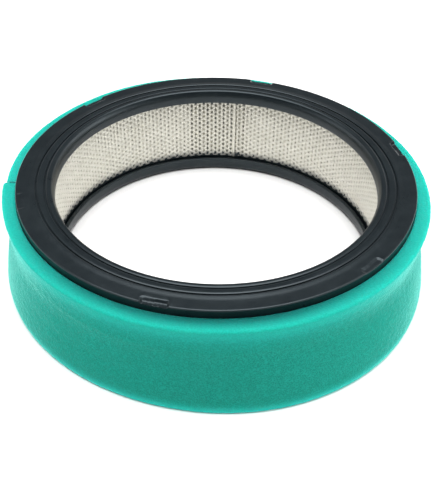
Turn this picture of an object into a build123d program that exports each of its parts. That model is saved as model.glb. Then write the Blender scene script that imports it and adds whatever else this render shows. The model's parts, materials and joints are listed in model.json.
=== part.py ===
from build123d import *
from math import cos, pi, radians, sin
import os

# Ring-shaped engine air filter element that wears a foam pre-cleaner sleeve.
# Millimetres, +Z up. The origin is the centre of the face that the element stands on.
# Both end caps come out of one mould, so the upper one is the lower one turned over.

# Element
element_height = 63.5
bore_radius = 97.0            # cylindrical land that seats on the air cleaner base
mouth_radius = 98.4           # widest point of the lead-in at each sealing face

# End cap: heights are measured from its sealing face into the element
cap_radius = 118.3
cap_wall_height = 10.0
cap_edge_round = 0.8
lead_in_height = 3.0
lip_height = 8.8
lip_radius = 99.6             # outside of the standing lip around the bore
lip_round = 0.6
moat_floor = 5.6              # bottom of the slot between the lip and the inner screen
pocket_floor = 4.2            # the pleat pack is cast in down to here

# End cap: rings moulded into the sealing face, from the bore outwards
crown_outer_radius = 100.4    # the rounded crown starts at the mouth
crown_drop = 0.45             # both feet of the crown stand this much lower than its top
ridge_inner_radius = 101.9
ridge_outer_radius = 104.9
ridge_drop = 0.35             # the ridge between the two grooves stands this much lower
slope_foot_radius = 107.1
flat_inner_radius = 109.3
groove_depth = 1.1

# Six notches in the outer edge, left by the mould's locating lugs
notch_count = 6
notch_first_angle = 15.0
notch_width = 14.0
notch_inner_radius = 115.0
notch_depth = 2.0
notch_corner_round = 1.2

# Pleat pack
screen_thickness = 0.5
inner_screen_radius = 101.4   # inside face
outer_screen_radius = 115.0   # inside face
screen_lap_angle = 19.0       # how far the rolled sheet runs over itself
inner_lap_start = 82.0
outer_lap_start = 219.0
screen_lap_inset = 5.0        # the second layer stops this far short of the sheet's edges
screen_gap = 0.15             # between the laps and the folds of the paper

pleat_count = 117
paper_thickness = 0.45
fold_width = 0.9              # flat length of paper across the tip of a fold
clip_angle = 262.0            # where the two ends of the pleated strip meet
clip_thickness = 0.4
clip_depth = 7.0
clip_paper_gap = 0.25         # between the two strip ends

# Foam pre-cleaner sleeve
foam_bore_radius = 118.6
foam_bottom = 0.4
foam_top = 58.6
foam_foot_radius = 130.4
foam_foot_height = 5.0
foam_waist_radius = 124.8
foam_waist_height = 42.0
foam_rim_radius = 127.4
foam_rim_height = 54.4
foam_foot_round = 2.0
foam_rim_round = 3.6
foam_crest_width = 5.0         # level part of the top, outside its slope down to the caps
foam_top_dip = 0.6
seam_angle = 182.5            # where the ends of the foam strip are glued together
seam_width = 0.4
seam_inset = 0.4              # the glue film stops this far outside the foam's bore
seam_depth = 3.2              # and this far inside its waist


def polar(radius, degrees):
    return Vector(radius * cos(radians(degrees)), radius * sin(radians(degrees)))


def ring_of(section):
    """Solid of revolution about Z of a section drawn with X as radius and Y as height."""
    return revolve(Plane.XZ * section, Axis.Z, 360)


def tube(inner_radius, outer_radius, low, high):
    wall = Circle(outer_radius) - Circle(inner_radius)
    return extrude(Plane.XY.offset(low) * wall, high - low)


def groove(inner_edge, outer_edge):
    """A round-bottomed groove between two points of the sealing face."""
    middle = ((inner_edge[0] + outer_edge[0]) / 2, groove_depth)
    return ThreePointArc(inner_edge, middle, outer_edge)


def end_cap_section():
    """Half-section of an end cap, drawn upwards from its sealing face at height 0."""
    pocket_outer = outer_screen_radius + screen_thickness
    mouth = (mouth_radius, crown_drop)
    crown_radius = (mouth_radius + crown_outer_radius) / 2
    crown_end = (crown_outer_radius, crown_drop)
    ridge_start = (ridge_inner_radius, ridge_drop)
    ridge_end = (ridge_outer_radius, ridge_drop)
    slope_foot = (slope_foot_radius, ridge_drop)
    edge_low = (cap_radius - cap_edge_round, 0)
    edge_mid = (
        cap_radius - cap_edge_round * (1 - sin(pi / 4)),
        cap_edge_round * (1 - sin(pi / 4)),
    )
    edge_high = (cap_radius, cap_edge_round)
    lead_in_foot = (bore_radius, lead_in_height)
    with BuildSketch() as section:
        with BuildLine():
            ThreePointArc(mouth, (crown_radius, 0), crown_end)
            groove(crown_end, ridge_start)
            Line(ridge_start, ridge_end)
            groove(ridge_end, slope_foot)
            Line(slope_foot, (flat_inner_radius, 0))
            Line((flat_inner_radius, 0), edge_low)
            ThreePointArc(edge_low, edge_mid, edge_high)
            FilletPolyline(
                edge_high,
                (cap_radius, cap_wall_height),
                (pocket_outer, cap_wall_height),
                (pocket_outer, pocket_floor),
                (inner_screen_radius, pocket_floor),
                (inner_screen_radius, moat_floor),
                (lip_radius, moat_floor),
                (lip_radius, lip_height),
                (bore_radius, lip_height),
                lead_in_foot,
                radius=[cap_edge_round, cap_edge_round, 0, 0, 0, 0, lip_round, lip_round],
            )
            Line(lead_in_foot, mouth)
        make_face()
    return section.sketch


def notch_cutter():
    """The six lug notches, cut into the sealing face through the outer edge."""
    reach = 2 * (cap_radius - notch_inner_radius)
    lug = Box(reach, notch_width, 2 * notch_depth)
    lug = fillet(lug.edges().filter_by(Axis.Z).group_by(Axis.X)[0], notch_corner_round)
    lug = Pos(notch_inner_radius + reach / 2, 0, 0) * lug
    step = 360 / notch_count
    return [Rot(0, 0, notch_first_angle + step * i) * lug for i in range(notch_count)]


def lower_end_cap():
    return ring_of(end_cap_section()) - notch_cutter()


def upper_end_cap():
    """The same moulding, turned over so that its notches line up with the lower ones."""
    return Pos(0, 0, element_height) * mirror(lower_end_cap(), Plane.XY)


def rolled_screen(radius, lap_start, lap_inside):
    """A sheet rolled into a tube whose ends lap, the lap standing on one side of the wall."""
    low = pocket_floor
    high = element_height - pocket_floor
    outer_radius = radius + screen_thickness
    wall = tube(radius, outer_radius, low, high)
    lap_inner_radius = radius - screen_thickness if lap_inside else outer_radius
    layer = tube(
        lap_inner_radius,
        lap_inner_radius + screen_thickness,
        low + screen_lap_inset,
        high - screen_lap_inset,
    )
    far_point = 2 * radius
    lap_end = lap_start + screen_lap_angle
    wedge = make_face(
        Polyline((0, 0), polar(far_point, lap_start), polar(far_point, lap_end), close=True)
    )
    lap = layer & extrude(wedge, element_height)
    return wall + lap


def pleat_tip_radii():
    """Radii of the paper's centre line at the inner and the outer folds."""
    inner_lap_face = inner_screen_radius + 2 * screen_thickness
    outer_lap_face = outer_screen_radius - screen_thickness
    margin = screen_gap + paper_thickness / 2
    return inner_lap_face + margin, outer_lap_face - margin


def paper_centre_line():
    """Centre line of the pleated strip, from one end inside the clip round to the other."""
    inner, outer = pleat_tip_radii()
    pitch = 360 / pleat_count
    end_radius = outer - 2 * clip_thickness
    end_offset = (clip_paper_gap + paper_thickness) / 2
    end_angle = end_offset / end_radius * 180 / pi
    foot_angle = end_offset / inner * 180 / pi
    half_inner_fold = fold_width / 2 / inner * 180 / pi
    half_outer_fold = fold_width / 2 / outer * 180 / pi
    first_fold_angle = foot_angle + 2 * half_inner_fold
    points = [polar(end_radius, clip_angle + end_angle)]
    points.append(polar(inner, clip_angle + foot_angle))
    points.append(polar(inner, clip_angle + first_fold_angle))
    for i in range(pleat_count):
        out_angle = clip_angle + pitch * (i + 0.5)
        in_angle = clip_angle + pitch * (i + 1)
        points.append(polar(outer, out_angle - half_outer_fold))
        points.append(polar(outer, out_angle + half_outer_fold))
        if i < pleat_count - 1:
            points.append(polar(inner, in_angle - half_inner_fold))
            points.append(polar(inner, in_angle + half_inner_fold))
    points.append(polar(inner, clip_angle - first_fold_angle))
    points.append(polar(inner, clip_angle - foot_angle))
    points.append(polar(end_radius, clip_angle - end_angle))
    return points


def strip_outline(points, thickness):
    """Closed outline of a strip of even thickness that follows the given centre line."""
    left = []
    right = []
    runs = [(end - start).normalized() for start, end in zip(points, points[1:])]
    for point, run_in, run_out in zip(points, runs[:1] + runs, runs + runs[-1:]):
        normal_in = Vector(-run_in.Y, run_in.X)
        normal_out = Vector(-run_out.Y, run_out.X)
        side = (normal_in + normal_out).normalized()
        reach = thickness / 2 / side.dot(normal_in)
        left.append(point + side * reach)
        right.append(point - side * reach)
    return left + right[::-1]


def pleated_media():
    outline = strip_outline(paper_centre_line(), paper_thickness)
    face = make_face(Polyline(*outline, close=True))
    low = pocket_floor
    return extrude(Pos(0, 0, low) * face, element_height - 2 * low)


def media_seam_clip():
    """A folded metal channel that grips the two ends of the pleated strip."""
    jaw_tip = pleat_tip_radii()[1] - clip_depth
    web_back = pleat_tip_radii()[1] - clip_thickness
    web_front = web_back - clip_thickness
    inside_width = clip_paper_gap + 2 * paper_thickness
    outside_width = inside_width + 2 * clip_thickness
    height = element_height - 2 * pocket_floor
    middle = element_height / 2
    body = Pos((jaw_tip + web_back) / 2, 0, middle)
    slot = Pos((jaw_tip + web_front) / 2, 0, middle)
    channel = body * Box(web_back - jaw_tip, outside_width, height)
    channel -= slot * Box(web_front - jaw_tip, inside_width, height)
    return Rot(0, 0, clip_angle) * channel


def foam_section():
    """Half-section of the sleeve: a straight bore, a low swell, a waist and a rounded rim."""
    foot = (foam_foot_radius, foam_bottom + foam_foot_height)
    waist = (foam_waist_radius, foam_waist_height)
    rim = (foam_rim_radius, foam_rim_height)
    with BuildSketch() as section:
        with BuildLine():
            Spline(foot, waist, rim)
            Polyline(
                rim,
                (foam_rim_radius, foam_top),
                (foam_rim_radius - foam_crest_width, foam_top),
                (foam_bore_radius, foam_top - foam_top_dip),
                (foam_bore_radius, foam_bottom),
                (foam_foot_radius, foam_bottom),
                foot,
            )
        make_face()
        corners = section.vertices().group_by(Axis.Y)
        rim_corners = corners[-1].sort_by(Axis.X)
        foot_corners = corners[0].sort_by(Axis.X)
        fillet(rim_corners[-1], foam_rim_round)
        fillet(foot_corners[-1], foam_foot_round)
    return section.sketch


def seam_slab(inner, outer, inset):
    """The radial slab of the butt joint, between two radii, short of both ends by the inset."""
    height = foam_top - foam_bottom - 2 * inset
    slab = Box(outer - inner, seam_width, height)
    centre = Pos((inner + outer) / 2, 0, (foam_top + foam_bottom) / 2)
    return Rot(0, 0, seam_angle) * centre * slab


def foam_precleaner():
    """The foam strip bent round to a sleeve, with the butt joint left open for the glue."""
    clear_of_foam = foam_foot_radius - foam_bore_radius
    gap = seam_slab(foam_bore_radius - clear_of_foam, foam_foot_radius + clear_of_foam, -1)
    return ring_of(foam_section()) - gap


def precleaner_seam_glue():
    """The film of adhesive in the butt joint, set back from the sleeve's faces."""
    inner = foam_bore_radius + seam_inset
    outer = foam_waist_radius - seam_depth
    return seam_slab(inner, outer, foam_rim_round)


nodes = {
    "lower_end_cap": lower_end_cap(),
    "upper_end_cap": upper_end_cap(),
    "inner_screen": rolled_screen(inner_screen_radius, inner_lap_start, False),
    "outer_screen": rolled_screen(outer_screen_radius, outer_lap_start, True),
    "pleated_media": pleated_media(),
    "media_seam_clip": media_seam_clip(),
    "foam_precleaner": foam_precleaner(),
    "precleaner_seam_glue": precleaner_seam_glue(),
}

os.makedirs("parts", exist_ok=True)
for name, shape in nodes.items():
    export_step(shape, f"parts/{name}.step")
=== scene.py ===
import json
import math

import bpy
import numpy as np
from mathutils import Matrix, Vector, noise


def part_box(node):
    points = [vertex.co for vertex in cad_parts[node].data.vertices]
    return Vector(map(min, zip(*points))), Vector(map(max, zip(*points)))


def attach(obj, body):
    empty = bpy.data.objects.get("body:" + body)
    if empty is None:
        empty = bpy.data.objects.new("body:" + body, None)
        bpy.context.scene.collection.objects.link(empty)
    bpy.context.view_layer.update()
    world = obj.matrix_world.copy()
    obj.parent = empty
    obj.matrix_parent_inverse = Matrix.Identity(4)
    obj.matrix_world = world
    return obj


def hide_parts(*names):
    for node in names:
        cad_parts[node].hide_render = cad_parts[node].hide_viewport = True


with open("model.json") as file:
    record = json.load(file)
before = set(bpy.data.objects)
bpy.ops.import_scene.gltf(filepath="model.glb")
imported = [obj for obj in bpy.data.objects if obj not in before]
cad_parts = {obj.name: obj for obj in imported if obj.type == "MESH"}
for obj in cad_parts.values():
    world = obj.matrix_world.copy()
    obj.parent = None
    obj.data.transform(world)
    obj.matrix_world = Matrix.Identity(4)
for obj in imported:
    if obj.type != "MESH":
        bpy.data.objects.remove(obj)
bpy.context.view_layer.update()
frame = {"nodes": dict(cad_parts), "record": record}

# Looks of a ring air filter element with a foam pre-cleaner sleeve.
# Angles are degrees counter-clockwise from +X. Section points are (radius, height) in millimetres,
# and heights of a cap's section are measured from its sealing face into the element.

MM = 0.001

cap_low, cap_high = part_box("upper_end_cap")
foam_low, foam_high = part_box("foam_precleaner")
screen_low, screen_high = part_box("inner_screen")
outer_screen_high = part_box("outer_screen")[1]
media_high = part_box("pleated_media")[1]
bore_mount = next(m for m in frame["record"]["mounts"] if m["name"] == "centre_bore")

CAP_RADIUS = cap_high.x / MM
CAP_HEIGHT = (cap_high.z - cap_low.z) / MM
ELEMENT_HEIGHT = cap_high.z / MM
BORE_RADIUS = bore_mount["dims"]["r_mm"]
FOAM_BOTTOM = foam_low.z / MM
FOAM_TOP = foam_high.z / MM
FOAM_FOOT_RADIUS = foam_high.x / MM
FOAM_CLEARANCE = 0.3
FOAM_BORE_RADIUS = CAP_RADIUS + FOAM_CLEARANCE
PACK_LOW = screen_low.z / MM
PACK_HIGH = screen_high.z / MM
LIP_TO_SCREEN = 4.4
INNER_SCREEN_RADIUS = BORE_RADIUS + LIP_TO_SCREEN
OUTER_SCREEN_RADIUS = outer_screen_high.x / MM
MEDIA_OUTER_RADIUS = media_high.x / MM
SHEET = 0.5  # thickness of both screens
FOAM_SEAM_ANGLE = 182.5
INNER_LAP_ANGLE = 82.0
OUTER_LAP_ANGLE = 219.0
CLIP_ANGLE = 262.0
LAP_STEP = 0.62  # how far the end of a rolled screen lies behind its start

# The caps' rim notches: the angle of each, and how much of its full depth is left open.
NOTCHES = {15: 1.0, 75: 1.0, 135: 1.0, 195: 0.12, 255: 1.0, 315: 0.35}
ROUGH_NOTCH_ANGLE = 255
NOTCH_HALF_WIDTH = 7.6
NOTCH_INWARDS = 4.0
NOTCH_CORNER = 1.5
NOTCH_DEPTH = 2.0
NOTCH_REACH = 8.5  # no notch, bead or slope goes further along the rim than this
NOTCH_LEAN = 0.8  # extra slope at one end of each notch
RIM_WIDTH = 5.0
FACE_DEPTH = 3.5  # all that is nearer to the sealing face than this belongs to it

SCREEN_HALF_ROWS = 31
INNER_COLUMNS = 228
OUTER_COLUMNS = 230
LAP_COLUMNS = 12
HOLE_HALF_WIDTH = 0.56
HOLE_HALF_HEIGHT = 0.90
LAP_HOLE_SIZE = 1.20
HOLE_SIZE = 0.70

PLEATS = 117
PLEAT_STEPS = 24
PAPER = 0.45


# ---------------------------------------------------------------- mesh helpers


def wavy(x, y, z):
    """Smooth repeatable noise from -1 to 1."""
    return noise.noise(Vector((x, y, z)))


def smooth_step(x, low, high):
    """From 0 at low to 1 at high, level at both ends."""
    t = np.clip((np.asarray(x, float) - low) / (high - low), 0, 1)
    return t * t * (3 - 2 * t)


def rounded(outline, steps, longest):
    """Points along a closed outline of (x, y, rounding), its corners eased and long runs divided."""
    share_of_run = 0.49
    corners = np.array([p[:2] for p in outline], float)
    points = []
    for i, corner in enumerate(corners):
        before = corners[i - 1] - corner
        after = corners[(i + 1) % len(corners)] - corner
        shorter = min(np.linalg.norm(before), np.linalg.norm(after))
        reach = min(outline[i][2], share_of_run * shorter)
        if reach <= 0:
            points.append(corner)
            continue
        start = corner + before / np.linalg.norm(before) * reach
        end = corner + after / np.linalg.norm(after) * reach
        for t in np.linspace(0, 1, steps):
            points.append((1 - t) ** 2 * start + 2 * t * (1 - t) * corner + t * t * end)
    divided = []
    for i, point in enumerate(points):
        following = points[(i + 1) % len(points)]
        parts = max(1, math.ceil(np.linalg.norm(following - point) / longest))
        for k in range(parts):
            divided.append(point + (following - point) * k / parts)
    return np.array(divided)


def new_piece(name, vertices, faces):
    """A smoothly shaded object in the scene, its vertices in metres."""
    mesh = bpy.data.meshes.new(name)
    mesh.from_pydata([tuple(v) for v in vertices], [], [tuple(f) for f in faces])
    mesh.polygons.foreach_set("use_smooth", [True] * len(mesh.polygons))
    mesh.update()
    mesh.validate()
    piece = bpy.data.objects.new(name, mesh)
    bpy.context.scene.collection.objects.link(piece)
    return piece


def quads_of_grid(rows, columns, close_rows, flip=False):
    """Faces of a grid of vertices numbered row by row, each row a closed loop."""
    row = np.arange(rows if close_rows else rows - 1)
    r, c = np.meshgrid(row, np.arange(columns), indexing="ij")
    r, c = r.ravel(), c.ravel()
    up = (r + 1) % rows
    right = (c + 1) % columns
    faces = np.stack([r * columns + c, up * columns + c, up * columns + right, r * columns + right], 1)
    return (faces[:, ::-1] if flip else faces).tolist()


def turned(name, radii, heights, angles, closed, flip=False):
    """A piece from sections set round the axis: radii and heights are (angle, section point) grids."""
    turn = np.radians(np.asarray(angles))[:, None]
    points = np.stack([radii * np.cos(turn), radii * np.sin(turn), heights], -1) * MM
    rows, columns = radii.shape
    faces = quads_of_grid(rows, columns, closed, flip)
    if not closed:
        first = list(range(columns))
        last = [(rows - 1) * columns + k for k in range(columns)]
        faces.append(first if flip else first[::-1])
        faces.append(last[::-1] if flip else last)
    return new_piece(name, points.reshape(-1, 3), faces)


def past(angle, start):
    """Degrees from start to angle, from -180 to 180."""
    return (angle - start + 180) % 360 - 180


def lap_drop(past_start):
    """How far a rolled screen steps behind its own first edge, by degrees past that edge."""
    return LAP_STEP * float(smooth_step(past_start, -3.2, -0.5)) * (past_start < 0)


# ---------------------------------------------------------------- material helpers


def set_stops(gradient, stops):
    """Set a colour ramp node's stops of (position, colour or number)."""
    elements = gradient.color_ramp.elements
    while len(elements) < len(stops):
        elements.new(0.5)
    for element, (position, colour) in zip(elements, stops):
        element.position = position
        element.color = (colour,) * 3 + (1,) if isinstance(colour, (int, float)) else (*colour, 1)


class Shader:
    """A small wrapper that adds nodes to one material and links them by socket name."""

    def __init__(self, name, **settings):
        self.material = bpy.data.materials.new(name)
        self.material.use_nodes = True
        self.tree = self.material.node_tree
        self.surface = self.tree.nodes["Principled BSDF"]
        self.place = self.node("ShaderNodeTexCoord").outputs["Object"]
        for socket, value in settings.items():
            self.surface.inputs[socket.replace("_", " ")].default_value = value

    def node(self, kind, **inputs):
        made = self.tree.nodes.new(kind)
        for socket, value in inputs.items():
            self.feed(made, socket.replace("_", " "), value)
        return made

    def feed(self, node, socket, value):
        target = node.inputs[int(socket)] if socket.isdigit() else node.inputs[socket]
        if isinstance(value, bpy.types.NodeSocket):
            self.tree.links.new(value, target)
        else:
            target.default_value = value

    def noise(self, size_mm, detail=3.0, roughness=0.55):
        """Noise whose largest blobs are about size_mm across, from 0 to 1."""
        made = self.node("ShaderNodeTexNoise", Vector=self.place, Scale=1 / (size_mm * MM))
        self.feed(made, "Detail", detail)
        self.feed(made, "Roughness", roughness)
        return made.outputs["Fac"]

    def cells(self, size_mm):
        """Distance from the middles of irregular cells about size_mm across."""
        made = self.node("ShaderNodeTexVoronoi", Vector=self.place, Scale=1 / (size_mm * MM))
        return made.outputs["Distance"]

    def math(self, operation, a, b=0.0):
        made = self.tree.nodes.new("ShaderNodeMath")
        made.operation = operation
        self.feed(made, "0", a)
        self.feed(made, "1", b)
        return made.outputs[0]

    def ramp(self, value, *stops):
        """Colours or numbers between stops of (position, colour or number)."""
        made = self.node("ShaderNodeValToRGB", Fac=value)
        set_stops(made, stops)
        return made.outputs["Color"]

    def mix(self, share, a, b):
        """A colour on the way from a to b."""
        made = self.tree.nodes.new("ShaderNodeMix")
        made.data_type = "RGBA"
        self.feed(made, "0", share)
        self.feed(made, "6", (*a, 1) if isinstance(a, tuple) else a)
        self.feed(made, "7", (*b, 1) if isinstance(b, tuple) else b)
        return made.outputs[2]

    def bump(self, height, depth_mm, strength=1.0, under=None):
        made = self.node("ShaderNodeBump", Strength=strength, Distance=depth_mm * MM, Height=height)
        if under is not None:
            self.feed(made, "Normal", under)
        return made.outputs["Normal"]

    def finish(self, colour, roughness, normal):
        for socket, value in (("Base Color", colour), ("Roughness", roughness), ("Normal", normal)):
            self.feed(self.surface, socket, value)
        return self.material


def set_material(piece, material):
    """Give the whole piece one material, in the slots it has or in a new one."""
    if piece.material_slots:
        for index in range(len(piece.material_slots)):
            piece.material_slots[index].material = material
    else:
        piece.data.materials.append(material)


# ---------------------------------------------------------------- materials


def cap_rubber():
    s = Shader("moulded_rubber", Specular_IOR_Level=0.42)
    s.surface.inputs["Specular Tint"].default_value = (0.80, 0.93, 1.0, 1)
    broad = s.noise(22, 4)
    fine = s.noise(0.7, 4, 0.7)
    smear = s.noise(6, 5, 0.65)
    tone = s.ramp(broad, (0.35, 0.0), (0.7, 1.0))
    colour = s.mix(tone, (0.0035, 0.0062, 0.0080), (0.0060, 0.0095, 0.0115))
    colour = s.mix(s.ramp(smear, (0.55, 0.0), (0.8, 0.35)), colour, (0.014, 0.019, 0.022))
    roughness = s.ramp(s.mix(0.5, smear, fine), (0.3, 0.25), (0.7, 0.38))
    normal = s.bump(fine, 0.05, 0.35)
    normal = s.bump(s.noise(3.5, 3), 0.12, 0.25, normal)
    return s.finish(colour, roughness, normal)


def screen_metal():
    """Pale coated metal, darker towards both ends of the mesh: partly rubber crept into it, partly painted
    shade from the caps.
    """
    s = Shader("coated_screen_metal", Metallic=0.15, Specular_IOR_Level=0.5)
    blotch = s.noise(9, 4)
    colour = s.mix(s.ramp(blotch, (0.3, 0.0), (0.7, 1.0)), (0.73, 0.71, 0.625), (0.79, 0.77, 0.69))
    grain = s.noise(0.5, 3)
    height = s.node("ShaderNodeSeparateXYZ", Vector=s.place).outputs["Z"]
    uneven = s.math("MULTIPLY", s.math("SUBTRACT", s.noise(2.5, 4), 0.5), 4 * MM)
    share = s.math("DIVIDE", s.math("ADD", height, uneven), ELEMENT_HEIGHT * MM)
    low_end = ((0.115, 1.0), (0.165, 0.75), (0.215, 0.0))
    high_end = ((0.80, 0.0), (0.835, 0.35), (0.88, 0.6))
    # Painted shade: the mesh is greyed near both caps, standing in for their shadow as well as for the
    # rubber crept into its ends.
    creep_and_painted_shade = s.ramp(share, *low_end, *high_end)
    colour = s.mix(creep_and_painted_shade, colour, (0.20, 0.205, 0.20))
    roughness = s.ramp(grain, (0.3, 0.30), (0.7, 0.48))
    return s.finish(colour, roughness, s.bump(grain, 0.04, 0.4))


def filter_paper():
    s = Shader("filter_paper", Specular_IOR_Level=0.2)
    fibre = s.noise(0.8, 6, 0.7)
    colour = s.mix(s.ramp(fibre, (0.35, 0.0), (0.65, 1.0)), (0.84, 0.80, 0.68), (0.92, 0.89, 0.79))
    return s.finish(colour, 0.9, s.bump(fibre, 0.08, 0.6))


def clip_steel():
    s = Shader("clip_steel", Metallic=1.0, Specular_IOR_Level=0.5)
    streak = s.noise(1.2, 4)
    colour = s.mix(streak, (0.45, 0.45, 0.44), (0.66, 0.66, 0.64))
    return s.finish(colour, s.ramp(streak, (0.3, 0.28), (0.7, 0.45)), s.bump(streak, 0.03, 0.4))


def foam_teal():
    """Open-cell foam, paler at its foot and crest with painted light, and darker on top with painted shade
    where the caps shade it.
    """
    s = Shader(
        "open_cell_foam",
        Specular_IOR_Level=0.1,
        Sheen_Weight=1.0,
        Sheen_Roughness=0.25,
        Subsurface_Weight=1.0,
        Subsurface_Scale=0.006,
    )
    s.surface.inputs["Sheen Tint"].default_value = (0.35, 1.0, 0.9, 1)
    s.surface.inputs["Subsurface Radius"].default_value = (0.1, 1.0, 0.85)
    pore = s.cells(0.8)
    broad = s.noise(28, 3)
    clump = s.noise(2.2, 4, 0.65)
    colour = s.ramp(pore, (0.05, (0.003, 0.120, 0.090)), (0.75, (0.010, 0.285, 0.222)))
    colour = s.mix(s.ramp(clump, (0.3, 0.0), (0.75, 0.35)), colour, (0.014, 0.330, 0.262))
    colour = s.mix(s.ramp(broad, (0.35, 0.0), (0.7, 0.25)), colour, (0.005, 0.215, 0.165))
    parts = s.node("ShaderNodeSeparateXYZ", Vector=s.place)
    uneven = s.math("MULTIPLY", s.math("SUBTRACT", clump, 0.5), 3 * MM)
    share = s.math("DIVIDE", s.math("ADD", parts.outputs["Z"], uneven), FOAM_TOP * MM)
    # Painted light: the foam is paler near its foot and along its crest, standing in for light through the
    # pores and on the rounded edges.
    foot_painted_glow = ((0.0, 1.0), (0.03, 0.85), (0.10, 0.15), (0.14, 0.0))
    crest_painted_highlight = ((0.72, 0.0), (0.84, 0.14), (0.93, 0.45), (1.0, 0.42))
    colour = s.mix(s.ramp(share, *foot_painted_glow, *crest_painted_highlight), colour, (0.020, 0.500, 0.430))

    level_place = s.node("ShaderNodeCombineXYZ", X=parts.outputs["X"], Y=parts.outputs["Y"])
    across = s.node("ShaderNodeVectorMath", Vector=level_place.outputs[0])
    across.operation = "LENGTH"
    past_cap = s.math("SUBTRACT", across.outputs["Value"], (FOAM_BORE_RADIUS + 0.4) * MM)
    past_cap = s.math("MULTIPLY", past_cap, 1 / (8.5 * MM))
    shaded = s.ramp(past_cap, (0.0, 1.0), (0.3, 0.85), (0.65, 0.4), (1.0, 0.0))
    sideways = s.math("MULTIPLY", parts.outputs["X"], 1 / (FOAM_FOOT_RADIUS * MM))
    shaded = s.math("MULTIPLY", shaded, s.math("SUBTRACT", 1.0, s.math("MULTIPLY", sideways, sideways)))
    shaded = s.math("MULTIPLY", shaded, s.ramp(share, (0.90, 0.0), (0.95, 1.0)))
    colour = s.mix(shaded, colour, (0.003, 0.090, 0.080))
    normal = s.bump(pore, 0.30, 0.6)
    normal = s.bump(clump, 0.4, 0.3, normal)
    return s.finish(colour, 0.95, normal)


def seam_glue():
    s = Shader("seam_glue", Specular_IOR_Level=0.4)
    lumps = s.noise(1.5, 3)
    colour = s.mix(lumps, (0.004, 0.09, 0.075), (0.010, 0.16, 0.13))
    return s.finish(colour, s.ramp(lumps, (0.3, 0.35), (0.7, 0.6)), s.bump(lumps, 0.2, 0.6))


# ---------------------------------------------------------------- end caps


def cap_outline():
    """Closed half-section of an end cap as (radius, height, rounding), from the bore outwards."""
    mouth = BORE_RADIUS + 1.4
    lip = BORE_RADIUS + 2.6
    lip_end = 8.8
    behind_screen = INNER_SCREEN_RADIUS + 0.46
    flat = 0.40
    return [
        (BORE_RADIUS, 3.0, 1.5),
        (mouth, 0.35, 0.4),
        (mouth + 0.8, 0.0, 0.5),
        (mouth + 2.4, 0.0, 0.6),
        (mouth + 3.0, 0.35, 0.15),
        (mouth + 3.1, 1.15, 0.1),
        (mouth + 3.9, 1.15, 0.1),
        (mouth + 4.0, flat, 0.15),
        (mouth + 5.0, 0.20, 0.6),
        (mouth + 6.9, 0.15, 0.6),
        (mouth + 7.6, flat, 0.15),
        (mouth + 7.7, 1.25, 0.1),
        (mouth + 8.5, 1.25, 0.1),
        (mouth + 8.6, 0.30, 0.15),
        (mouth + 9.3, 0.0, 0.6),
        (mouth + 12.1, 0.42, 0.9),
        (CAP_RADIUS, flat, 0.7),
        (CAP_RADIUS, CAP_HEIGHT, 0.9),
        (OUTER_SCREEN_RADIUS, CAP_HEIGHT, 0.9),
        (OUTER_SCREEN_RADIUS, PACK_LOW, 0),
        (behind_screen, PACK_LOW, 0),
        (behind_screen, 12.2, 0.1),
        (INNER_SCREEN_RADIUS + 0.30, 11.4, 0.2),
        (INNER_SCREEN_RADIUS - 0.05, 9.6, 0.2),
        (INNER_SCREEN_RADIUS - 0.50, 8.8, 0.4),
        (INNER_SCREEN_RADIUS - 0.55, 6.2, 0.5),
        (lip, 5.8, 0.3),
        (lip, lip_end, 0.7),
        (BORE_RADIUS, lip_end, 0.7),
    ]


def cap_section():
    """The outline's points, closer together where the notches are cut."""
    points = rounded(cap_outline(), steps=4, longest=2.2)
    rim_step = 0.45
    finer = []
    for i, point in enumerate(points):
        following = points[(i + 1) % len(points)]
        far_out = min(point[0], following[0]) > CAP_RADIUS - RIM_WIDTH
        on_rim = far_out and max(point[1], following[1]) < FACE_DEPTH
        parts = math.ceil(np.linalg.norm(following - point) / rim_step) if on_rim else 1
        for k in range(parts):
            finer.append(point + (following - point) * k / parts)
    return np.array(finer)


def cap_angles():
    """Even steps round the ring, with more of them at the notches."""
    steps = 420
    notch_steps = 45
    angles = set(np.round(np.arange(steps) * 360 / steps, 4))
    reach = math.degrees((NOTCH_REACH + 0.1) / CAP_RADIUS)
    for centre in NOTCHES:
        for shift in np.linspace(-reach, reach, notch_steps):
            angles.add(round((centre + shift) % 360, 4))
    return np.array(sorted(angles))


def notch_distance(along, inwards):
    """Distance from a notch's rounded border, negative inside it, at a place along and in from the rim."""
    across = abs(along) - (NOTCH_HALF_WIDTH - NOTCH_CORNER)
    inner = inwards - (NOTCH_INWARDS - NOTCH_CORNER)
    outside = math.hypot(max(across, 0), max(inner, 0))
    return outside + min(max(across, inner), 0) - NOTCH_CORNER


def cut_notch(profile, section, rim, angle, seed):
    """Sink one section's rim where a notch crosses it, and raise the thin bead round the notch."""
    nearest = min(NOTCHES, key=lambda centre: abs(past(angle, centre)))
    along = math.radians(past(angle, nearest)) * CAP_RADIUS
    if abs(along) >= NOTCH_REACH:
        return
    torn = 1.0 if nearest == ROUGH_NOTCH_ANGLE else 0.25
    lean = NOTCH_LEAN * (along < 0)
    turn = math.radians(angle)
    for m in rim:
        radius, height = section[m]
        x, y = radius * math.cos(turn), radius * math.sin(turn)
        away = notch_distance(along + lean * 0.5, CAP_RADIUS - radius)
        away += 0.18 * wavy(x * 0.8, y * 0.8, seed)
        share = 1 - float(smooth_step(away, -0.9 - lean, 0.35))
        burr = 0.12 * wavy(x * 0.9, y * 0.9, seed + 3)
        if radius > CAP_RADIUS - 1.4:
            burr += 0.9 * torn * abs(wavy(x * 0.5, y * 0.5, seed + 7))
        floor = max(height, NOTCH_DEPTH - burr)
        bead = 0.22 * torn * math.exp(-(((away - 0.75) / 0.5) ** 2))
        profile[m] += NOTCHES[nearest] * share * (floor - height) - bead * (height < 0.7)


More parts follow.
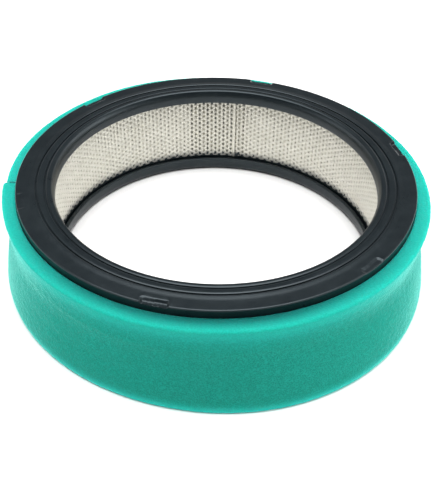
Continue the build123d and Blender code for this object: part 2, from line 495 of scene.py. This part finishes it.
def end_cap(name, upper):
    """A cap with its notches, its rippled face and the rubber that crept up the inner screen."""
    section = cap_section()
    angles = cap_angles()
    radii = np.tile(section[:, 0], (len(angles), 1))
    heights = np.tile(section[:, 1], (len(angles), 1))
    seed = 11.0 if upper else 17.0
    lip_oval = 0.45
    on_face = section[:, 1] < FACE_DEPTH
    lip_share = 1 - smooth_step(section[:, 0], BORE_RADIUS + 2.4, BORE_RADIUS + 9)
    rippled = on_face & (section[:, 0] > BORE_RADIUS + 3)
    rim = np.nonzero(on_face & (section[:, 0] > CAP_RADIUS - RIM_WIDTH))[0]
    at_screen = abs(section[:, 0] - INNER_SCREEN_RADIUS) < 0.7
    crept = np.nonzero((section[:, 1] > 6.0) & at_screen)[0]
    for k, angle in enumerate(angles):
        turn = math.radians(angle)
        x, y = math.cos(turn), math.sin(turn)
        cut_notch(heights[k], section, rim, angle, seed)
        ripple = 0.05 * wavy(x * 3, y * 3, seed) + 0.025 * wavy(x * 16, y * 16, seed)
        heights[k] += ripple * rippled
        radii[k, crept] += lap_drop(past(angle, INNER_LAP_ANGLE))
        if upper:
            radii[k] -= lip_oval * (1 + math.cos(2 * turn)) * lip_share
        creep = 0.8 * wavy(x * 30, y * 30, seed) + 0.5 * wavy(x * 75, y * 75, seed)
        heights[k, crept] += creep * smooth_step(section[crept, 1], 6.5, 9.0)
    heights[:, on_face] = np.maximum(heights[:, on_face], 0)
    if upper:
        heights = ELEMENT_HEIGHT - heights
    piece = turned(name, radii, heights, angles, closed=True, flip=not upper)
    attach(piece, "element")
    return piece


# ---------------------------------------------------------------- screens


def screen(name, face_radius, facing, start_angle, columns):
    """A rolled sheet of staggered openings. facing is -1 if the side that shows looks at the axis."""
    half_rows = SCREEN_HALF_ROWS
    half_pitch = (PACK_HIGH - PACK_LOW) / half_rows
    total = columns + LAP_COLUMNS
    pitch_angle = 360 / columns
    pitch = math.radians(pitch_angle) * face_radius
    margin = 1
    margin_width = 0.5
    hole_columns = columns - 2
    ridge, knuckle_ridge, bevel = 0.16, 0.42, 0.20
    wide = 0.72  # an opening's corner, between the 0.707 of an ellipse and the 1 of a rectangle
    ring = [(-wide, -wide), (0, -1), (wide, -wide), (1, 0), (wide, wide), (0, 1), (-wide, wide), (-1, 0)]
    vertices = []
    faces = []
    known = {}

    def add(column, level, depth):
        """A vertex at a place on the sheet, which is slightly dented and whose first edge curls up."""
        if column < margin:
            column = margin - (margin - column) * margin_width
        angle = math.radians(start_angle + column * pitch_angle)
        way = (math.cos(angle), math.sin(angle))
        dent = 0.16 * wavy(way[0] * 9, way[1] * 9, level * 0.16)
        from_end = min(level, half_rows - level)
        curl = -0.55 * math.exp(-((column / 1.1) ** 2)) * float(smooth_step(from_end, 2, 6))
        behind = LAP_STEP if column >= columns else lap_drop((column - columns) * pitch_angle)
        radius = face_radius - facing * (depth + behind + dent + curl)
        height = PACK_LOW + level * half_pitch
        height += 0.30 * min(1.0, from_end) * wavy(way[0] * 5, way[1] * 5, 40 + level * 0.05)
        vertices.append((radius * way[0] * MM, radius * way[1] * MM, height * MM))
        return len(vertices) - 1

    def shared(column, level, back):
        """A vertex on a strand's ridge. A knuckle stands proud where two strands meet."""
        key = (column, level, back)
        if key not in known:
            knuckle = column != int(column) and column > margin
            depth = SHEET if back else -(knuckle_ridge if knuckle else ridge)
            known[key] = add(column, level, depth)
        return known[key]

    def face(corners):
        faces.append(corners if facing > 0 else corners[::-1])

    def cell(column, level):
        """One opening with the strands round it."""
        edge = [
            (column, level), (column + 0.5, level), (column + 1, level), (column + 1, level + 1),
            (column + 1, level + 2), (column + 0.5, level + 2), (column, level + 2), (column, level + 1),
        ]
        front = [shared(u, v, False) for u, v in edge]
        back = [shared(u, v, True) for u, v in edge]
        centre = (column + 0.5, level + 1)
        size = LAP_HOLE_SIZE if column < LAP_COLUMNS or column >= hole_columns else HOLE_SIZE
        rims = []
        for depth in (bevel, SHEET):
            rims.append([
                add(
                    centre[0] + x * size * HOLE_HALF_WIDTH / pitch,
                    centre[1] + y * size * HOLE_HALF_HEIGHT / half_pitch,
                    depth,
                )
                for x, y in ring
            ])
        for k in range(8):
            n = (k + 1) % 8
            face([front[k], front[n], rims[0][n], rims[0][k]])
            face([rims[0][k], rims[0][n], rims[1][n], rims[1][k]])
            face([rims[1][k], rims[1][n], back[n], back[k]])

    def half_cell(column, level):
        """The plain half opening left at the sheet's cut edge."""
        edge = [(column, level), (column + 0.5, level), (column + 1, level),
                (column + 1, level + 1), (column + 0.5, level + 1), (column, level + 1)]
        face([shared(u, v, False) for u, v in edge])
        face([shared(u, v, True) for u, v in edge][::-1])

    def solid_strip(column):
        """The sheet's margin, which has no openings."""
        for level in range(half_rows):
            for u in (column, column + 0.5):
                edge = [(u, level), (u + 0.5, level), (u + 0.5, level + 1), (u, level + 1)]
                face([shared(a, b, False) for a, b in edge])
                face([shared(a, b, True) for a, b in edge][::-1])

    for column in range(margin):
        solid_strip(column)
    for column in range(margin, total):
        odd = column % 2
        if odd:
            half_cell(column, 0)
        for level in range(odd, half_rows - 1, 2):
            cell(column, level)
        if not odd:
            half_cell(column, half_rows - 1)
    for column in range(total):
        for level, turn_round in ((0, False), (half_rows, True)):
            for u in (column, column + 0.5):
                corners = [shared(u, level, False), shared(u, level, True),
                           shared(u + 0.5, level, True), shared(u + 0.5, level, False)]
                face(corners[::-1] if turn_round else corners)
    for column, turn_round in ((0, True), (total, False)):
        for level in range(half_rows):
            corners = [shared(column, level, False), shared(column, level, True),
                       shared(column, level + 1, True), shared(column, level + 1, False)]
            face(corners[::-1] if turn_round else corners)
    piece = new_piece(name, vertices, faces)
    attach(piece, "element")
    return piece


# ---------------------------------------------------------------- pleated paper


def pleat_line(inner, outer):
    """The paper's middle line as (radius, degrees past the clip), with a straight flap at both ends."""
    middle, reach = (inner + outer) / 2, (outer - inner) / 2
    sharpness = 0.97
    first = math.degrees(0.8 / inner)
    flap_angle = math.degrees(0.35 / outer)
    flap_top = outer - 0.8
    flap = [flap_top - (flap_top - inner) * t for t in np.linspace(0, 1, 6)]
    line = [(radius, flap_angle) for radius in flap]
    for k in range(PLEATS * PLEAT_STEPS + 1):
        phase = k / PLEAT_STEPS
        wave = math.asin(sharpness * math.cos(2 * math.pi * phase)) / math.asin(sharpness)
        # The folds at the inner screen are broad and flat, and the outer ones are narrow.
        wave = 2.2 * (wave + 0.40) if wave > -0.60 else 1.1 * wave + 0.22
        wave = math.sin(math.pi / 2 * min(1, max(-1, wave)))
        line.append((middle - reach * wave, first + (360 - 2 * first) * phase / PLEATS))
    line += [(radius, 360 - flap_angle) for radius in reversed(flap)]
    return line


def pleated_paper():
    """The pleated strip, swaying a little between the caps and pushed outwards at the screen's lap."""
    inner = INNER_SCREEN_RADIUS + SHEET + 0.2 + PAPER / 2
    outer = MEDIA_OUTER_RADIUS - PAPER / 2
    line = pleat_line(inner, outer)
    lap_push = 0.65
    levels = np.linspace(PACK_LOW, PACK_HIGH, 7)
    rows = []
    for height in levels:
        bow = math.sin(math.pi * (height - PACK_LOW) / (PACK_HIGH - PACK_LOW))
        points = []
        for radius, angle in line:
            turn = math.radians(CLIP_ANGLE + angle)
            past_lap = past(CLIP_ANGLE + angle, INNER_LAP_ANGLE)
            at_lap = smooth_step(past_lap, -5.0, -3.2) * (1 - smooth_step(past_lap, 19.8, 21.5))
            radius += lap_push * float(at_lap) * (outer - radius) / (outer - inner)
            sway = 0.0022 * bow * wavy(math.cos(turn) * 14, math.sin(turn) * 14, height * 0.05)
            sway *= min(1.0, angle / 4, (360 - angle) / 4) * (radius - inner) / (outer - inner)
            points.append((radius * math.cos(turn + sway), radius * math.sin(turn + sway)))
        points = np.array(points)
        along = np.gradient(points, axis=0)
        along /= np.linalg.norm(along, axis=1)[:, None]
        side = np.stack([-along[:, 1], along[:, 0]], 1) * PAPER / 2
        loop = np.concatenate([points + side, (points - side)[::-1]])
        rows.append(np.column_stack([loop, np.full(len(loop), height)]))
    grid = np.array(rows) * MM
    count = grid.shape[1]
    faces = quads_of_grid(len(levels), count, False)
    top = (len(levels) - 1) * count
    for k in range(count // 2 - 1):
        mate = count - 1 - k
        faces.append([k, k + 1, mate - 1, mate])
        faces.append([top + mate, top + mate - 1, top + k + 1, top + k])
    piece = new_piece("pleated_paper", grid.reshape(-1, 3), faces)
    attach(piece, "element")
    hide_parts("pleated_media")
    return piece


# ---------------------------------------------------------------- foam sleeve

# How the sleeve was pulled on, at three levels, in millimetres outwards. It is stretched evenly, slid
# to one side, drawn to an oval and bulged in three places. The last three are (most, its angle).
# The values are rounded from a fit of the sleeve's outline to the photo, its smaller terms left out.
PULLS = {
    "foot": {"even": 1.6, "slid": (1.5, 70), "oval": (1.8, 95), "bulges": (1.2, 70)},
    "waist": {"even": 1.5, "slid": (0.2, 300), "oval": (2.2, 90), "bulges": (0.0, 0)},
    "rim": {"even": 0.5, "slid": (0.5, 240), "oval": (1.2, 115), "bulges": (0.3, 0)},
}


def foam_outline():
    """Closed half-section of the sleeve as (radius, height, rounding)."""
    bore = FOAM_BORE_RADIUS + 0.05
    foot = FOAM_FOOT_RADIUS - 0.5
    return [
        (bore, FOAM_BOTTOM + 0.1, 0.8),
        (foot - 6.0, FOAM_BOTTOM, 2.0),
        (foot - 0.7, 0.05, 1.3),
        (foot, 4.0, 2.5),
        (foot - 1.2, 13.0, 6.0),
        (foot - 2.7, 22.0, 6.0),
        (foot - 5.2, 36.0, 6.0),
        (foot - 5.5, 43.0, 5.0),
        (foot - 4.5, 49.4, 4.4),
        (foot - 2.8, FOAM_TOP - 0.1, 4.4),
        (bore + 3.5, FOAM_TOP - 0.2, 2.0),
        (bore, FOAM_TOP - 0.2, 0.6),
    ]


def stray(turn, level):
    """How far the soft sleeve strays outwards from its section, as it was pulled on."""
    pull = PULLS[level]
    away = pull["even"]
    for lobes, kind in ((1, "slid"), (2, "oval"), (3, "bulges")):
        most, angle = pull[kind]
        away += most * math.cos(lobes * (turn - math.radians(angle)))
    return away


def foam_sleeve():
    """The stretched sleeve with its open butt joint, where one end of the strip stands out further."""
    seam_half_gap = 0.2
    pinch_depth = 0.6
    section = rounded(foam_outline(), steps=7, longest=1.4)
    gap = math.degrees(seam_half_gap / FOAM_BORE_RADIUS)
    angles = np.linspace(gap, 360 - gap, 680)
    radii = np.tile(section[:, 0], (len(angles), 1))
    heights = np.tile(section[:, 1], (len(angles), 1))
    off_bore = smooth_step(section[:, 0], FOAM_BORE_RADIUS + 0.3, FOAM_BORE_RADIUS + 4)
    high_up = smooth_step(section[:, 1], 20, FOAM_TOP)
    foot_share = np.interp(section[:, 1], [0, 22, 43], [1.0, 0.8, 0.0])
    rim_share = np.interp(section[:, 1], [43, 56], [0.0, 1.0])
    for k, angle in enumerate(angles):
        turn = math.radians(FOAM_SEAM_ANGLE + angle)
        x, y = math.cos(turn), math.sin(turn)
        far = min(angle, 360 - angle)
        step = 0.9 * math.exp(-angle / 14) if angle < 180 else -1.1 * math.exp(-(360 - angle) / 9)
        pinch = -pinch_depth * math.exp(-((far / 0.5) ** 2))
        lean = stray(turn, "foot") * foot_share + stray(turn, "rim") * rim_share
        lean = lean + stray(turn, "waist") * (1 - foot_share - rim_share)
        swell = 0.20 * wavy(x * 2.2, y * 2.2, 2.0)
        radii[k] += off_bore * (lean + step * (0.35 + 0.65 * high_up) + pinch + swell)
        heights[k] += off_bore * 0.25 * wavy(x * 3, y * 3, 9.0) * high_up
        for m in np.nonzero(off_bore > 0.05)[0]:
            place = (x * section[m, 0], y * section[m, 0], section[m, 1])
            rough = 0.13 * noise.noise(Vector(place) * 0.6) + 0.10 * noise.noise(Vector(place) * 0.3)
            radii[k, m] += rough * off_bore[m]
            heights[k, m] += 0.6 * rough * off_bore[m] * high_up[m]
    heights = np.maximum(heights, 0.03)
    piece = turned("foam_sleeve", radii, heights, FOAM_SEAM_ANGLE + angles, closed=False, flip=True)
    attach(piece, "precleaner")
    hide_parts("foam_precleaner")
    return piece


# ---------------------------------------------------------------- stage


def studio_floor():
    bpy.ops.mesh.primitive_plane_add(size=8, location=(0, 0, -0.0002))
    floor = bpy.context.object
    floor.name = "studio_floor"
    s = Shader("studio_floor", Roughness=1.0, Specular_IOR_Level=0.0)
    s.surface.inputs["Base Color"].default_value = (0.88, 0.88, 0.88, 1)
    set_material(floor, s.material)


def surroundings():
    """White light from all round: most of it from low down, and more from the sides than front and rear."""
    by_height = ((0.0, 1.6), (0.10, 1.4), (0.32, 0.14), (0.75, 0.14), (1.0, 0.4))
    by_side = ((0.0, 0.35), (0.2, 0.8), (0.5, 3.5), (0.75, 1.7), (1.0, 0.55))
    more_on_right = 0.3
    world = bpy.data.worlds.new("studio")
    bpy.context.scene.world = world
    world.use_nodes = True
    nodes, links = world.node_tree.nodes, world.node_tree.links
    background = nodes["Background"]
    direction = nodes.new("ShaderNodeTexCoord")
    parts = nodes.new("ShaderNodeSeparateXYZ")
    links.new(direction.outputs["Generated"], parts.inputs[0])

    upwards = nodes.new("ShaderNodeValToRGB")
    set_stops(upwards, by_height)
    links.new(parts.outputs["Z"], upwards.inputs["Fac"])
    links.new(upwards.outputs["Color"], background.inputs["Color"])

    backwards = nodes.new("ShaderNodeMapRange")
    backwards.inputs["From Min"].default_value = -1.0
    links.new(parts.outputs["Y"], backwards.inputs["Value"])
    around = nodes.new("ShaderNodeValToRGB")
    set_stops(around, by_side)
    links.new(backwards.outputs["Result"], around.inputs["Fac"])

    lean = nodes.new("ShaderNodeMath")
    lean.operation = "MULTIPLY_ADD"
    links.new(parts.outputs["X"], lean.inputs[0])
    lean.inputs[1].default_value = more_on_right
    lean.inputs[2].default_value = 1.0
    strength = nodes.new("ShaderNodeMath")
    strength.operation = "MULTIPLY"
    links.new(around.outputs["Color"], strength.inputs[0])
    links.new(lean.outputs[0], strength.inputs[1])
    links.new(strength.outputs[0], background.inputs["Strength"])


def overhead_light():
    """A very wide, soft light from straight above."""
    light = bpy.data.lights.new("overhead", "SUN")
    light.angle = math.radians(66)
    light.energy = 4.6
    lamp = bpy.data.objects.new("overhead", light)
    bpy.context.scene.collection.objects.link(lamp)


def camera():
    """From the front and about 40 degrees above, slightly tilted. In metres and radians, from a fit."""
    place = Vector((0.0, -0.4274, 0.3590))
    pitch, yaw, roll = 0.6906, 0.0028, 0.0156
    level = math.cos(pitch)
    forward = Vector((math.sin(yaw) * level, math.cos(yaw) * level, -math.sin(pitch)))
    right = Vector((math.cos(yaw), -math.sin(yaw), 0))
    up = right.cross(forward)
    tilted_right = right * math.cos(roll) + up * math.sin(roll)
    tilted_up = up * math.cos(roll) - right * math.sin(roll)
    data = bpy.data.cameras.new("camera")
    data.sensor_width = 36
    data.lens = 63.13
    data.clip_start = 0.01
    data.clip_end = 30
    eye = bpy.data.objects.new("camera", data)
    turn = Matrix((tilted_right, tilted_up, -forward)).transposed()
    eye.matrix_world = Matrix.Translation(place) @ turn.to_4x4()
    bpy.context.scene.collection.objects.link(eye)
    bpy.context.scene.camera = eye


# ---------------------------------------------------------------- assembly

rubber = cap_rubber()
metal = screen_metal()

upper_cap = end_cap("upper_cap", True)
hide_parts("upper_end_cap")
set_material(upper_cap, rubber)
lower_cap = end_cap("lower_cap", False)
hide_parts("lower_end_cap")
set_material(lower_cap, rubber)

inner = screen("inner_screen_sheet", INNER_SCREEN_RADIUS, -1, INNER_LAP_ANGLE, INNER_COLUMNS)
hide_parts("inner_screen")
set_material(inner, metal)
outer = screen("outer_screen_sheet", OUTER_SCREEN_RADIUS, 1, OUTER_LAP_ANGLE, OUTER_COLUMNS)
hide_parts("outer_screen")
set_material(outer, metal)

set_material(pleated_paper(), filter_paper())
set_material(foam_sleeve(), foam_teal())
set_material(frame["nodes"]["media_seam_clip"], clip_steel())
set_material(frame["nodes"]["precleaner_seam_glue"], seam_glue())

studio_floor()
surroundings()
overhead_light()
camera()
bpy.context.scene.view_settings.view_transform = "Standard"
